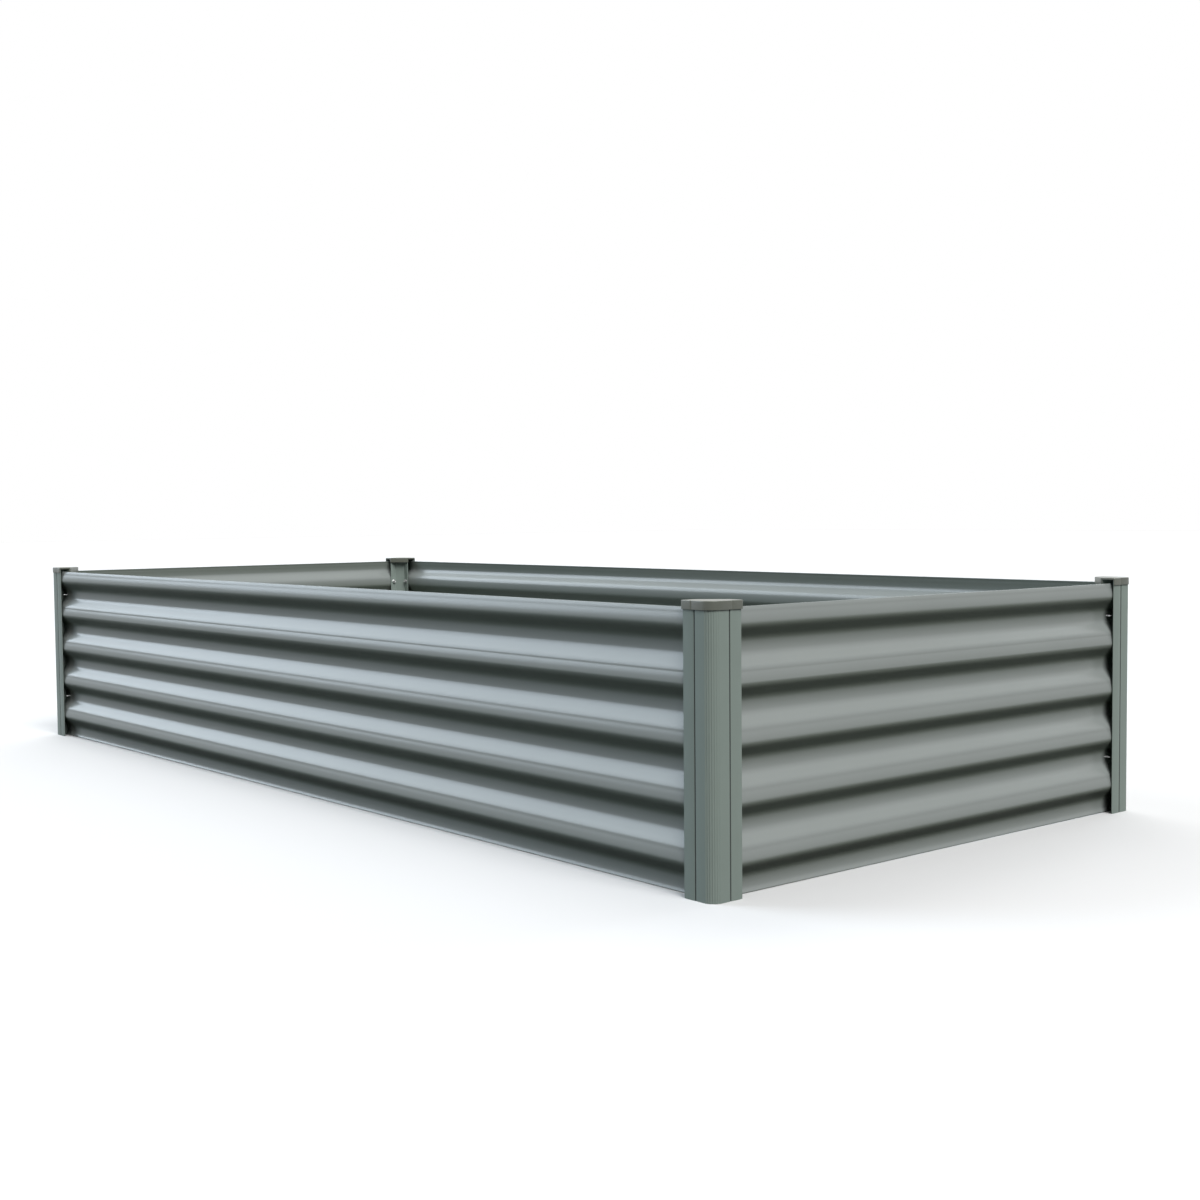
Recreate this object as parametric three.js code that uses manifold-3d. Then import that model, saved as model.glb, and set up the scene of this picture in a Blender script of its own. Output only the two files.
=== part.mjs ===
// Raised garden bed: four corrugated steel wall sheets slid into the channels of four
// extruded aluminium corner posts, each sheet end pinned by two self-drilling screws,
// each post closed by a moulded cap. The bed has no floor.
// Millimetres. X runs along the long walls, Y across the bed, Z up from the ground.
// The origin is on the ground at the middle of the bed.

import * as THREE from 'three';
import { mergeVertices } from 'three/addons/utils/BufferGeometryUtils.js';
import Module from 'manifold-3d';

// ---- Wall sheets ----
const longSheetLength = 2100;
const endSheetLength = 900;
const sheetHeight = 370;
const sheetThickness = 0.6;
const sheetLift = 1;              // lower edge of the sheets above the ground
const wavePitch = 76.2;           // crest to crest
const waveDepth = 16;             // crest to valley, on the sheet's middle line
const topCrestDrop = 14;          // highest crest below the sheet's upper edge
const crestFlatHalf = 7;          // half the flattened strip that the rolls leave on a crest
const crestFlatRadius = 60;
const creaseAngle = 4;            // degrees that the sheet turns at each edge of the strip
const bendRadius = 16;            // between the flattened strip and the straight flank

// ---- Corner posts ----
const postAboveSheet = 5.5;       // top of a post above the top of the sheets
const postArm = 52.5;             // outer corner to the free edge of a flange
const postWall = 1.6;
const channelPlay = 0.9;          // each side of a sheet in its channel
const sheetEndPlay = 0.9;         // end of a sheet to the floor of its channel
const noseLeg = 13;               // where the outer faces turn into the fluted nose
const noseEntryAngle = 15;        // degrees between an outer face and the start of the nose
const fluteCount = 6;
const fluteDepth = 0.35;
const grooveFromEdge = 20.9;      // square groove, from the free edge of the outer flange
const grooveWidth = 2.2;
const grooveDepth = 1;
const grooveLean = 0.2;           // each wall of the groove leans out by this much
const faceFall = 0.3;             // the outer face falls back by this from nose to groove
const shoulderWidth = 5.2;        // the flange rounds down to its side of the groove
const shoulderDepth = 0.45;
const edgeStripWidth = 2.7;       // recessed strip along the free edge
const edgeStripDepth = 0.5;
const edgeStripSlope = 2.2;       // width of the slope up from the strip
const gussetLeg = 16;             // diagonal wall behind the corner, along each inner flange

// ---- Post caps ----
const capOverhang = 1.5;          // outside of the post to the outside of the skirt
const capClearance = 0.3;         // between the post and the skirt or the spigots
const capPlate = 3.2;
const capSkirt = 8.3;             // skirt below the plate
const capEdgeRound = 1;
const capSeat = 0.3;              // top of the post to the underside of the plate
const capNoseLeg = 16.8;          // where the faces of the skirt turn into its nose
const capNoseEntryAngle = 5;
const capLineFromEdge = 17;       // vee line down the skirt, from the free edge of the flange
const capLineWidth = 3;
const capLineDepth = 0.7;
const capFaceFall = 0.4;          // the skirt's face falls back by this from nose to line
const spigotWall = 1.4;
const spigotDrop = 16;            // spigots below the underside of the plate

// ---- Screws ----
const screwFromEdge = 8;          // screw axis to the free edge of the inner flange
const screwRadius = 2.1;
const screwHoleClearance = 0.3;
const screwLength = 13;           // below the head
const screwPoint = 4;             // drill point at the end
const screwHexAcross = 7;
const screwHexHeight = 3.4;
const screwWasherRadius = 4.7;
const screwWasherHeight = 1;
const screwWasherRound = 0.4;
const screwHeadGap = 0.3;         // head to flange
const screwRows = [               // the valleys that hold a screw, counted down from the top
  { row: 'upper', valley: 1 },
  { row: 'lower', valley: 4 },
];

// ---- Places that follow from the sizes ----
const degree = Math.PI / 180;
const channelClear = waveDepth + sheetThickness + 2 * channelPlay;
const innerFace = postWall + channelClear;      // channel side of the inner flange
const innerBack = innerFace + postWall;         // bed side of the inner flange
const cornerToSheetEnd = innerBack + sheetEndPlay;
const bedLength = longSheetLength + 2 * cornerToSheetEnd;
const bedWidth = endSheetLength + 2 * cornerToSheetEnd;
const crestLine = postWall + channelPlay + sheetThickness / 2;
const sheetTop = sheetLift + sheetHeight;
const topCrest = sheetTop - topCrestDrop;
const valleyHeight = (valley) => topCrest - (valley - 0.5) * wavePitch;
const postLength = sheetTop + postAboveSheet;
const gussetEnd = innerBack + gussetLeg;
const capUnderside = postLength + capSeat;
const capTop = capUnderside + capPlate;
const capSkirtEnd = capUnderside - capSkirt;
const screwAlong = postArm - screwFromEdge;     // screw axis from the outer corner
const screwHoleRadius = screwRadius + screwHoleClearance;
const roundSides = 16;            // faces round a screw or its hole
const cutOvershoot = 1;           // how far a cutting body runs past what it cuts
const joinOverlap = 0.5;          // how far two joined bodies run into each other

// ---- Finishes ----
const sheetPaint = new THREE.MeshStandardMaterial({ color: 0x8b8c87, roughness: 0.4, metalness: 0 });
const postPaint = new THREE.MeshStandardMaterial({ color: 0x7b857e, roughness: 0.5, metalness: 0 });
const capPlastic = new THREE.MeshStandardMaterial({ color: 0x6e736c, roughness: 0.6, metalness: 0 });
const screwZinc = new THREE.MeshStandardMaterial({ color: 0xa9acab, roughness: 0.35, metalness: 1 });

// ---- Solids ----
const wasm = await Module();
wasm.setup();

const at = (x, y) => new THREE.Vector2(x, y);

// A closed geometry as a solid. Triangles that merging has flattened to a line are dropped.
function solidFrom(geometry) {
  const bare = geometry.clone();
  bare.deleteAttribute('normal');
  bare.deleteAttribute('uv');
  const merged = mergeVertices(bare, 1e-4);
  const triangles = [];
  for (let i = 0; i < merged.index.count; i += 3) {
    const [a, b, c] = merged.index.array.slice(i, i + 3);
    if (a !== b && b !== c && c !== a) triangles.push(a, b, c);
  }
  return new wasm.Manifold(new wasm.Mesh({
    numProp: 3,
    vertProperties: new Float32Array(merged.attributes.position.array),
    triVerts: new Uint32Array(triangles),
  }));
}

function geometryFrom(solid) {
  const mesh = solid.getMesh();
  const geometry = new THREE.BufferGeometry();
  geometry.setAttribute('position', new THREE.BufferAttribute(new Float32Array(mesh.vertProperties), 3));
  geometry.setIndex(new THREE.BufferAttribute(new Uint32Array(mesh.triVerts), 1));
  geometry.computeVertexNormals();
  return geometry;
}

// An upright prism on an outline, from one height to another.
function prism(outline, low, high) {
  const shape = new THREE.Shape(outline);
  const geometry = new THREE.ExtrudeGeometry(shape, { depth: high - low, bevelEnabled: false });
  return solidFrom(geometry.translate(0, 0, low));
}

function block(low, high) {
  const size = high.clone().sub(low);
  const middle = low.clone().add(high).divideScalar(2);
  return solidFrom(new THREE.BoxGeometry(...size).translate(...middle));
}

// A round bar between two points, used to drill screw holes.
function roundBar(from, to, radius) {
  const along = to.clone().sub(from);
  const middle = from.clone().add(to).divideScalar(2);
  const upAxis = new THREE.Vector3(0, 1, 0);
  const turn = new THREE.Quaternion().setFromUnitVectors(upAxis, along.clone().normalize());
  const bar = new THREE.CylinderGeometry(radius, radius, along.length(), roundSides);
  return solidFrom(bar.applyQuaternion(turn).translate(...middle));
}

// ---- Wall sheet ----
// A quarter of a wave, from a crest to the middle of the wave: half the flattened strip, a
// bend and a straight flank. The flank's angle is found so that the quarter covers a
// quarter of the pitch and half the depth. Points are (along the wave, down from the crest).
function quarterWave() {
  const span = wavePitch / 4;
  const drop = waveDepth / 2;
  const flatEdgeAngle = Math.asin(crestFlatHalf / crestFlatRadius);
  const flatDrop = crestFlatRadius * (1 - Math.cos(flatEdgeAngle));
  const bendStart = flatEdgeAngle + creaseAngle * degree;
  const bendSpan = (angle) => bendRadius * (Math.sin(angle) - Math.sin(bendStart));
  const bendDrop = (angle) => bendRadius * (Math.cos(bendStart) - Math.cos(angle));
  const flankSpan = (angle) => span - crestFlatHalf - bendSpan(angle);
  const wholeDrop = (angle) => flatDrop + bendDrop(angle) + flankSpan(angle) * Math.tan(angle);

  const steepest = 80 * degree;
  const closeEnough = 1e-7;
  let tooFlat = bendStart;
  let tooSteep = steepest;
  while (tooSteep - tooFlat > closeEnough) {
    const middle = (tooFlat + tooSteep) / 2;
    if (wholeDrop(middle) < drop) tooFlat = middle;
    else tooSteep = middle;
  }
  const flankAngle = tooFlat;

  const points = [at(0, 0), at(crestFlatHalf, flatDrop)];
  const bendSteps = 4;
  for (let step = 1; step <= bendSteps; step += 1) {
    const angle = THREE.MathUtils.lerp(bendStart, flankAngle, step / bendSteps);
    points.push(at(crestFlatHalf + bendSpan(angle), flatDrop + bendDrop(angle)));
  }
  points.push(at(span, drop));
  return points;
}

// One whole wave, from a crest to just before the next.
function oneWave() {
  const quarter = quarterWave();
  const toCrest = quarter.slice(0, -1).reverse();
  const half = [...quarter, ...toCrest.map((p) => at(wavePitch / 2 - p.x, waveDepth - p.y))];
  return [...half, ...half.slice(1, -1).reverse().map((p) => at(wavePitch - p.x, p.y))];
}

// Part of a rising line between two heights, with a new point where it crosses each.
function partOfLine(line, lowest, highest) {
  const kept = [];
  for (let i = 0; i < line.length - 1; i += 1) {
    const from = line[i];
    const to = line[i + 1];
    const crossing = (height) => from.clone().lerp(to, (height - from.y) / (to.y - from.y));
    if (from.y < lowest && to.y > lowest) kept.push(crossing(lowest));
    if (from.y >= lowest && from.y <= highest) kept.push(from);
    if (from.y < highest && to.y > highest) kept.push(crossing(highest));
  }
  return kept;
}

// The sheet's middle line, rising: depth behind the outer face of the posts, and height.
function waveLine() {
  const wave = oneWave();
  const first = -Math.ceil(topCrestDrop / wavePitch);
  const last = Math.ceil((topCrest - sheetLift) / wavePitch);
  const falling = [];
  for (let count = first; count <= last; count += 1) {
    const crest = topCrest - count * wavePitch;
    falling.push(...wave.map((p) => at(crestLine + p.y, crest - p.x)));
  }
  return partOfLine(falling.reverse(), sheetLift, sheetTop);
}

// One face of the sheet: its middle line moved sideways by half the thickness. The two ends
// move level, so that the sheet's cut edges are level.
function sheetFace(line, side) {
  const reach = (side * sheetThickness) / 2;
  return line.map((point, i) => {
    const isEnd = i === 0 || i === line.length - 1;
    const before = line[Math.max(i - 1, 0)];
    const after = line[Math.min(i + 1, line.length - 1)];
    const along = after.clone().sub(before).normalize();
    return isEnd ? at(point.x + reach / along.y, point.y)
      : at(point.x + reach * along.y, point.y - reach * along.x);
  });
}

function wallSheet(length) {
  const line = waveLine();
  const section = [...sheetFace(line, 1), ...sheetFace(line, -1).reverse()];
  // The section's X and Y become Y and Z, and its length runs along X.
  const upright = new THREE.Matrix4().set(0, 0, 1, 0, 1, 0, 0, 0, 0, 1, 0, 0, 0, 0, 0, 1);
  let solid = prism(section, -length / 2, length / 2).transform(upright.elements);
  const holeFromMiddle = length / 2 + cornerToSheetEnd - screwAlong;
  for (const x of [-holeFromMiddle, holeFromMiddle]) {
    for (const { valley } of screwRows) {
      const height = valleyHeight(valley);
      const from = new THREE.Vector3(x, crestLine + waveDepth / 2, height);
      const to = new THREE.Vector3(x, innerBack, height);
      solid = solid.subtract(roundBar(from, to, screwHoleRadius));
    }
  }
  return geometryFrom(solid);
}

// ---- Corner post ----
// Sections are drawn with the outer corner at the origin and the arms along +X and +Y. They
// are alike about the diagonal, so one arm is drawn and the other is its mirror image.
const swapped = (point) => at(point.y, point.x);
const mirrored = (line) => line.slice().reverse().map(swapped);

// The outer face of an arm, from its free edge in to the groove: a recessed strip, a flat, a
// shoulder that rounds down to the groove, and the groove itself.
function outerFace() {
  const middle = postArm - grooveFromEdge;
  const lip = middle + grooveWidth / 2;
  const foot = grooveWidth / 2 - grooveLean;
  const slopeStart = postArm - edgeStripWidth;
  const shoulder = [];
  const shoulderSteps = 4;
  for (let step = 0; step <= shoulderSteps; step += 1) {
    const share = step / shoulderSteps;
    shoulder.push(at(lip + shoulderWidth * (1 - share), shoulderDepth * share * share));
  }
  return [
    at(postArm, edgeStripDepth),
    at(slopeStart, edgeStripDepth),
    at(slopeStart - edgeStripSlope, 0),
    ...shoulder,
    at(middle + foot, grooveDepth),
    at(middle - foot, grooveDepth),
    at(middle - grooveWidth / 2, faceFall),
  ];
}

// A nose is an arc between the two outer faces of a corner at faceDepth. It starts a leg away
// from where they would meet, and its centre lies on the diagonal.
function noseArc(leg, entryAngle, faceDepth) {
  const turn = (90 - 2 * entryAngle) * degree;
  const radius = leg / Math.SQRT2 / Math.sin(turn / 2);
  const centre = (leg + leg / Math.tan(turn / 2)) / 2 + faceDepth;
  return { turn, radius, centre };
}
const postNose = noseArc(noseLeg, noseEntryAngle, 0);
const capNose = noseArc(capNoseLeg, capNoseEntryAngle, -capOverhang);

const nosePoint = (nose, angle, radius) => at(
  nose.centre - radius * Math.cos(angle),
  nose.centre - radius * Math.sin(angle),
);

function flutedNose() {
  const stepsPerFlute = 4;
  const steps = fluteCount * stepsPerFlute;
  const points = [];
  for (let step = 0; step <= steps; step += 1) {
    const angle = 45 * degree + postNose.turn * (0.5 - step / steps);
    const hollow = fluteDepth * Math.sin((Math.PI * (step % stepsPerFlute)) / stepsPerFlute);
    points.push(nosePoint(postNose, angle, postNose.radius - hollow));
  }
  return points;
}

// A smooth arc about a nose's centre, between two faces that lie at faceDepth.
function plainNose(nose, radius, faceDepth) {
  const meetingAngle = Math.asin((nose.centre - faceDepth) / radius);
  const steps = 8;
  const points = [];
  for (let step = 0; step <= steps; step += 1) {
    const angle = THREE.MathUtils.lerp(meetingAngle, 90 * degree - meetingAngle, step / steps);
    points.push(nosePoint(nose, angle, radius));
  }
  return points;
}

// The hollow inside the corner, drawn in from its walls by an inset.
function cornerHollow(inset) {
  const low = postWall + inset;
  const high = innerFace - inset;
  const nose = plainNose(postNose, postNose.radius - low, low);
  return [...nose, at(low, high), at(high, high), at(high, low)];
}

// The three-sided hollow behind the diagonal wall, drawn in from its walls by an inset.
function gussetHollow(inset) {
  const low = innerBack + inset;
  const far = gussetEnd - inset - (postWall + inset) * Math.SQRT2;
  return [at(low, low), at(far, low), at(low, far)];
}

function postOutline() {
  const face = outerFace();
  const channelAndGusset = [
    at(postWall, postArm),
    at(postWall, innerBack),
    at(innerFace, innerBack),
    at(innerFace, postArm),
    at(innerBack, postArm),
    at(innerBack, gussetEnd),
  ];
  return [
    ...face, ...flutedNose(), ...mirrored(face),
    ...channelAndGusset, ...mirrored(channelAndGusset),
  ];
}

function cornerPost() {
  let solid = prism(postOutline(), 0, postLength);
  for (const hollow of [cornerHollow(0), gussetHollow(0)]) {
    solid = solid.subtract(prism(hollow, -cutOvershoot, postLength + cutOvershoot));
  }
  const near = innerFace - cutOvershoot;
  const far = innerBack + cutOvershoot;
  for (const { valley } of screwRows) {
    const height = valleyHeight(valley);
    const alongY = [near, far].map((y) => new THREE.Vector3(screwAlong, y, height));
    const alongX = [near, far].map((x) => new THREE.Vector3(x, screwAlong, height));
    solid = solid.subtract(roundBar(...alongY, screwHoleRadius));
    solid = solid.subtract(roundBar(...alongX, screwHoleRadius));
  }
  return geometryFrom(solid);
}

// ---- Post cap ----
// The cap's plan follows the outer faces and a nose, and closes with a diagonal side.
function capPlan(offset, arm, nose) {
  return [
    ...arm, ...nose, ...mirrored(arm),
    at(innerBack + offset, postArm + offset), at(postArm + offset, innerBack + offset),
  ];
}

function postCap() {
  const line = postArm - capLineFromEdge;
  const outerArm = [
    at(postArm + capOverhang, -capOverhang),
    at(line + capLineWidth / 2, -capOverhang),
    at(line, capLineDepth - capOverhang),
    at(line - capLineWidth / 2, capFaceFall - capOverhang),
  ];
  const outerNose = plainNose(capNose, capNose.radius, -capOverhang);
  const innerArm = [at(postArm + capClearance, -capClearance)];
  const innerNose = plainNose(postNose, postNose.radius + capClearance, -capClearance);

  // The outside has a rounded upper edge. The same edge below is cut away with what it is on.
  const bodyDepth = capTop - capSkirtEnd;
  const outerPlan = new THREE.Shape(capPlan(capOverhang, outerArm, outerNose));
  const outside = new THREE.ExtrudeGeometry(outerPlan, {
    depth: bodyDepth,
    bevelThickness: capEdgeRound,
    bevelSize: capEdgeRound,
    bevelOffset: -capEdgeRound,
    bevelSegments: 2,
  });
  outside.translate(0, 0, capTop - bodyDepth - capEdgeRound);
  const reach = postArm + capOverhang + cutOvershoot;
  const below = block(
    new THREE.Vector3(-reach, -reach, capSkirtEnd - 2 * capEdgeRound - cutOvershoot),
    new THREE.Vector3(reach, reach, capSkirtEnd),
  );
  const innerPlan = capPlan(capClearance, innerArm, innerNose);
  const inside = prism(innerPlan, capSkirtEnd - cutOvershoot, capUnderside);
  let solid = solidFrom(outside).subtract(below).subtract(inside);

  // The skirt is open where the sheets enter the channels.
  const mouthLow = capSkirtEnd - cutOvershoot;
  const mouthWide = innerFace - capClearance;
  solid = solid.subtract(block(
    new THREE.Vector3(postArm, 0, mouthLow), new THREE.Vector3(reach, mouthWide, capUnderside)));
  solid = solid.subtract(block(
    new THREE.Vector3(0, postArm, mouthLow), new THREE.Vector3(mouthWide, reach, capUnderside)));

  // Two hollow spigots grip the hollows of the post.
  for (const hollow of [cornerHollow, gussetHollow]) {
    const spigot = prism(
      hollow(capClearance), capUnderside - spigotDrop, capUnderside + joinOverlap);
    const core = prism(
      hollow(capClearance + spigotWall), capUnderside - spigotDrop - cutOvershoot, capUnderside);
    solid = solid.add(spigot.subtract(core));
  }
  return geometryFrom(solid);
}

// ---- Screw ----
// A self-drilling screw along Y, with its head above the origin and its point below.
function wallScrew() {
  const profile = [
    at(0, -screwLength),
    at(screwRadius, screwPoint - screwLength),
    at(screwRadius, 0),
    at(screwWasherRadius, 0),
    at(screwWasherRadius, screwWasherHeight - screwWasherRound),
    at(screwWasherRadius - screwWasherRound, screwWasherHeight),
    at(0, screwWasherHeight),
  ];
  const shank = solidFrom(new THREE.LatheGeometry(profile, roundSides));
  const hexRadius = screwHexAcross / 2 / Math.cos(30 * degree);
  const hexHeight = screwHexHeight + joinOverlap;
  const hex = new THREE.CylinderGeometry(hexRadius, hexRadius, hexHeight, 6);
  hex.translate(0, screwWasherHeight - joinOverlap + hexHeight / 2, 0);
  return geometryFrom(shank.add(solidFrom(hex)));
}

// ---- The bed ----
const bed = new THREE.Group();

function addPiece(parent, name, geometry, finish) {
  const piece = new THREE.Mesh(geometry, finish.clone());
  piece.name = name;
  parent.add(piece);
  return piece;
}

// Each wall is drawn as the front one and turned about the middle of the bed.
const longSheet = wallSheet(longSheetLength);
const endSheet = wallSheet(endSheetLength);
const walls = [
  { side: 'front', turn: 0, sheet: longSheet, apart: bedWidth },
  { side: 'right', turn: 90, sheet: endSheet, apart: bedLength },
  { side: 'back', turn: 180, sheet: longSheet, apart: bedWidth },
  { side: 'left', turn: 270, sheet: endSheet, apart: bedLength },
];
for (const { side, turn, sheet, apart } of walls) {
  const wall = new THREE.Group();
  wall.rotation.z = turn * degree;
  addPiece(wall, `wall_sheet_${side}`, sheet, sheetPaint).position.y = -apart / 2;
  bed.add(wall);
}

// Each corner is drawn with its arms along +X and +Y and turned into place. The screws of
// its first arm pin the wall named first, and those of its second arm the other wall.
const post = cornerPost();
const cap = postCap();
const screw = wallScrew();
const corners = [
  { place: 'front_left', turn: 0, x: -1, y: -1, arms: ['front', 'left'] },
  { place: 'front_right', turn: 90, x: 1, y: -1, arms: ['right', 'front'] },
  { place: 'back_right', turn: 180, x: 1, y: 1, arms: ['back', 'right'] },
  { place: 'back_left', turn: 270, x: -1, y: 1, arms: ['left', 'back'] },
];
for (const { place, turn, x, y, arms } of corners) {
  const corner = new THREE.Group();
  corner.position.set((x * bedLength) / 2, (y * bedWidth) / 2, 0);
  corner.rotation.z = turn * degree;
  addPiece(corner, `corner_post_${place}`, post, postPaint);
  addPiece(corner, `post_cap_${place}`, cap, capPlastic);
  for (const { row, valley } of screwRows) {
    const head = innerBack + screwHeadGap;
    const height = valleyHeight(valley);
    const first = addPiece(corner, `screw_${place}_${arms[0]}_${row}`, screw, screwZinc);
    first.position.set(screwAlong, head, height);
    const second = addPiece(corner, `screw_${place}_${arms[1]}_${row}`, screw, screwZinc);
    second.position.set(head, screwAlong, height);
    second.rotation.z = -90 * degree;
  }
  bed.add(corner);
}

export default bed;
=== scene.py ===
import math

import bmesh
import bpy
from mathutils import Matrix, Vector


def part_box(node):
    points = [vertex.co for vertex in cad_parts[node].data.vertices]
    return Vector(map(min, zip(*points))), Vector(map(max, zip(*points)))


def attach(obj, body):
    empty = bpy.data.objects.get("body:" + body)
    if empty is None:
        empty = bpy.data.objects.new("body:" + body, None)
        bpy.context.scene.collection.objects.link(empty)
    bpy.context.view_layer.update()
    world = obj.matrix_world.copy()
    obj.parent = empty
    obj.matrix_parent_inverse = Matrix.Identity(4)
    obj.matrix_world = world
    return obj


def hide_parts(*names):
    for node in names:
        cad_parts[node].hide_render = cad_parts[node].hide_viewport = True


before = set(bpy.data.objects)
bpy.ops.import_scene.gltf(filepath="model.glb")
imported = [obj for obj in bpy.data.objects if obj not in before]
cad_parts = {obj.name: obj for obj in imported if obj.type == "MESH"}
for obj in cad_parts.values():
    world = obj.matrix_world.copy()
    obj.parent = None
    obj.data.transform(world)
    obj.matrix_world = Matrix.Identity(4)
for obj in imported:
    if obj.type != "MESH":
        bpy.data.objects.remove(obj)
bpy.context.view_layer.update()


# ---- Camera ----
# A camera at the height of a low table stands off the near corner of the bed and looks
# along its diagonal, a little down. Its place and lens were solved from the photograph.

camera_place = Vector((2.47979, -1.83622, 0.48772))     # in metres, as every size here
camera_turn = math.radians(49.924)      # from the bed's +Y towards its -X
camera_drop = math.radians(3.070)       # below level
camera_roll = math.radians(-0.506)
focal_pixels = 1586.8
frame_pixels = 1200
sensor_width = 36

camera_data = bpy.data.cameras.new("camera")
camera_data.sensor_width = sensor_width
camera_data.lens = focal_pixels * sensor_width / frame_pixels
camera = bpy.data.objects.new("camera", camera_data)
camera.matrix_world = (
    Matrix.Translation(camera_place)
    @ Matrix.Rotation(camera_turn, 4, "Z")
    @ Matrix.Rotation(math.pi / 2 - camera_drop, 4, "X")
    @ Matrix.Rotation(camera_roll, 4, "Z")
)
bpy.context.scene.collection.objects.link(camera)
bpy.context.scene.camera = camera


# ---- Floor and light ----
# The bed stands on a plain pale floor, under a dim sky and five broad soft lamps. The
# camera and every reflection see white, and the floor throws back the light of dull ground.

floor_size = 60
floor_seen = (0.76, 0.76, 0.76)         # white once it is lit
floor_bounce = (0.03, 0.03, 0.03)
sky_seen = (1, 1, 1)
sky_low = 0.05                          # grey at the horizon and below
sky_high = 0.14
sky_high_from = 0.6                     # of the way up, from where it stays this light
lamps = [
    # name, strength, softness in degrees, turn from +X, height above level, colour
    ("key", 2.95, 38, -13, 49, (1.0, 1.0, 1.0)),
    ("left", 1.9, 38, 209, 25, (0.76, 0.88, 1.0)),
    ("rear", 1.4, 40, 98, 22, (0.9, 0.96, 1.0)),
    ("back", 0.9, 40, 148, 50, (1.0, 1.0, 1.0)),
    ("top", 0.2, 60, 0, 90, (1.0, 1.0, 1.0)),
]


class Wire:
    """A socket in a node tree. Sums on it add Math nodes, and node adds any other node."""

    def __init__(self, tree, socket=None):
        self.tree = tree
        self.socket = socket

    def node(self, kind, settings=None, inputs=None, out=0):
        node = self.tree.nodes.new(kind)
        for name, value in (settings or {}).items():
            if name == "stops":
                self.place_stops(node.color_ramp, value)
            else:
                setattr(node, name, value)
        for name, value in (inputs or {}).items():
            self.feed(node.inputs[name], value)
        return Wire(self.tree, node.outputs[out])

    def feed(self, socket, value):
        if isinstance(value, Wire):
            self.tree.links.new(value.socket, socket)
        elif socket.type == "RGBA":
            socket.default_value = (*value, 1)
        else:
            socket.default_value = value

    def place_stops(self, ramp, stops):
        for element, (position, grey) in zip(ramp.elements, stops):
            element.position = position
            element.color = (grey, grey, grey, 1)

    def math(self, operation, *values):
        return self.node("ShaderNodeMath", {"operation": operation}, dict(enumerate(values)))

    def __add__(self, other):
        return self.math("ADD", self, other)

    def __sub__(self, other):
        return self.math("SUBTRACT", self, other)

    def __mul__(self, other):
        return self.math("MULTIPLY", self, other)

    def __truediv__(self, other):
        return self.math("DIVIDE", self, other)

    def __rsub__(self, other):
        return self.math("SUBTRACT", other, self)

    def __gt__(self, other):
        return self.math("GREATER_THAN", self, other)

    __radd__ = __add__
    __rmul__ = __mul__


def mix(factor, first, second):
    """A colour that goes from the first to the second as the factor goes from 0 to 1."""
    # The Mix node's colours go in at 6 and 7, and come out at 2.
    ends = {"Factor": factor, 6: first, 7: second}
    return factor.node("ShaderNodeMix", {"data_type": "RGBA"}, ends, out=2)


def is_seen(wire):
    """1 for the camera, a reflection or clear glass, and 0 for light that spreads."""
    camera_ray, glossy_ray, clear_ray = [
        wire.node("ShaderNodeLightPath", out=ray)
        for ray in ("Is Camera Ray", "Is Glossy Ray", "Is Transmission Ray")
    ]
    return camera_ray + glossy_ray + clear_ray


def new_finish(name, paint):
    """A material. Its paint gives a value or a link for each shader socket that it names."""
    material = bpy.data.materials.new(name)
    material.use_nodes = True
    wire = Wire(material.node_tree)
    shader = material.node_tree.nodes["Principled BSDF"]
    for socket, value in paint(wire).items():
        wire.feed(shader.inputs[socket], value)
    return material


def floor_paint(wire):
    return {
        "Base Color": mix(is_seen(wire), floor_bounce, floor_seen),
        "Roughness": 1,
        "Specular IOR Level": 0,
    }


floor_mesh = bpy.data.meshes.new("floor")
half = floor_size / 2
floor_mesh.from_pydata(
    [(-half, -half, 0), (half, -half, 0), (half, half, 0), (-half, half, 0)], [], [(0, 1, 2, 3)])
floor_mesh.materials.append(new_finish("floor_paint", floor_paint))
floor = bpy.data.objects.new("floor", floor_mesh)
bpy.context.scene.collection.objects.link(floor)

world = bpy.data.worlds.new("studio")
world.use_nodes = True
bpy.context.scene.world = world
wire = Wire(world.node_tree)
direction = wire.node("ShaderNodeTexCoord", out="Generated")
height = wire.node("ShaderNodeSeparateXYZ", inputs={0: direction}, out="Z")
sky = wire.node(
    "ShaderNodeValToRGB",
    {"stops": [(0, sky_low), (sky_high_from, sky_high)]},
    {0: height},
)
wire.feed(world.node_tree.nodes["Background"].inputs["Color"], mix(is_seen(wire), sky, sky_seen))

for name, strength, softness, turn, lift, colour in lamps:
    lamp_data = bpy.data.lights.new(name, "SUN")
    lamp_data.energy = strength
    lamp_data.color = colour
    lamp_data.angle = math.radians(softness)
    lamp = bpy.data.objects.new(name, lamp_data)
    lamp.matrix_world = (
        Matrix.Rotation(math.radians(turn), 4, "Z")
        @ Matrix.Rotation(math.radians(90 - lift), 4, "Y")
    )
    bpy.context.scene.collection.objects.link(lamp)

bpy.context.scene.view_settings.view_transform = "Standard"


# ---- Corrugated wall sheets ----
# Four sheets of 0.6 mm steel, roll-formed to standard roofing corrugation with the waves
# running along the bed, and painted grey. Their ends slide into the corner posts.

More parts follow.
